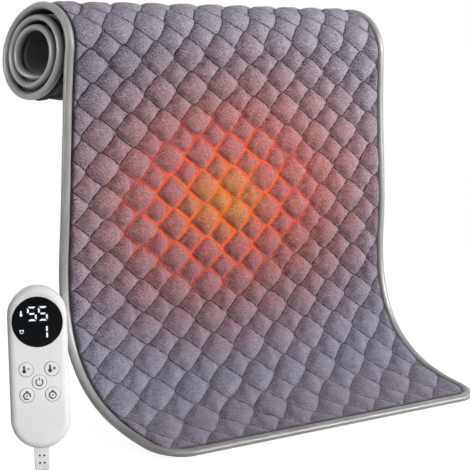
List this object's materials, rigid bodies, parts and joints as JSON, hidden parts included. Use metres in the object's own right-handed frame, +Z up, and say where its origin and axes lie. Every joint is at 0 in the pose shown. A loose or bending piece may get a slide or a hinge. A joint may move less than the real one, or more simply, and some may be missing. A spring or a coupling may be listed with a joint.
{
  "type": "heating pad with controller",
  "caption": "Quilted plush heating pad with bound edges, rolled up at one end and swept forward at the other, beside an upright wired controller with a round display and push buttons.",
  "frame": {"origin": "centre of the roll's core, at the middle of the pad's width", "axes": "+X across the pad along the roll, +Y away from the quilted face, +Z up"},
  "size_m": [0.6715, 0.3658, 0.3631],
  "materials": {
    "plush": "short velvet pile",
    "back_cloth": "plain weave",
    "binding": "satin knit",
    "felt": "felt",
    "wire": "silicone",
    "case": "satin white",
    "button": "satin white",
    "lens": "polished black",
    "relief": "fine texture",
    "dark_plastic": "matte",
    "board": "solder mask",
    "fuse": "ceramic",
    "steel": "plain",
    "cord": "smooth jacket",
    "plug": "moulded",
    "tie": "woven strap"
  },
  "bodies": {
    "pad_and_controller": {"quilted_cover": "plush", "back_cover": "back_cloth", "edge_binding": "binding", "wire_carrier": "felt", "heating_wire": "wire", "thermal_cutout_left": "dark_plastic", "thermal_cutout_right": "dark_plastic", "temperature_sensor": "dark_plastic", "pad_socket": "dark_plastic", "front_shell": "case", "rear_shell": "case", "display_lens": "lens", "display_module": "dark_plastic", "circuit_board": "board", "tact_switch_heat_down": "dark_plastic", "tact_switch_heat_up": "dark_plastic", "tact_switch_power": "dark_plastic", "tact_switch_timer_down": "dark_plastic", "tact_switch_timer_up": "dark_plastic", "microcontroller": "dark_plastic", "heater_relay": "dark_plastic", "terminal_block": "dark_plastic", "filter_capacitor": "dark_plastic", "fuse": "fuse", "case_screw_1": "steel", "case_screw_2": "steel", "case_screw_3": "steel", "case_screw_4": "steel", "strain_relief": "relief", "supply_lead": "cord", "supply_coil": "cord", "supply_tail": "cord", "supply_tie": "tie", "mains_plug": "plug", "plug_pin_left": "steel", "plug_pin_right": "steel", "pad_lead": "cord", "pad_coil": "cord", "pad_tail": "cord", "pad_tie": "tie", "pad_connector": "plug"},
    "button_heat_down": {"button_heat_down": "button"},
    "button_heat_up": {"button_heat_up": "button"},
    "button_power": {"button_power": "button"},
    "button_timer_down": {"button_timer_down": "button"},
    "button_timer_up": {"button_timer_up": "button"}
  },
  "joints": [
    {"name": "press_heat_down", "type": "slide", "parent": "pad_and_controller", "child": "button_heat_down", "axis": [0.6074, 0.7944, 0], "range_m": [0, 0.0006], "stiffness_N_per_m": 400},
    {"name": "press_heat_up", "type": "slide", "parent": "pad_and_controller", "child": "button_heat_up", "axis": [0.6074, 0.7944, 0], "range_m": [0, 0.0006], "stiffness_N_per_m": 400},
    {"name": "press_power", "type": "slide", "parent": "pad_and_controller", "child": "button_power", "axis": [0.6074, 0.7944, 0], "range_m": [0, 0.0006], "stiffness_N_per_m": 400},
    {"name": "press_timer_down", "type": "slide", "parent": "pad_and_controller", "child": "button_timer_down", "axis": [0.6074, 0.7944, 0], "range_m": [0, 0.0006], "stiffness_N_per_m": 400},
    {"name": "press_timer_up", "type": "slide", "parent": "pad_and_controller", "child": "button_timer_up", "axis": [0.6074, 0.7944, 0], "range_m": [0, 0.0006], "stiffness_N_per_m": 400}
  ]
}
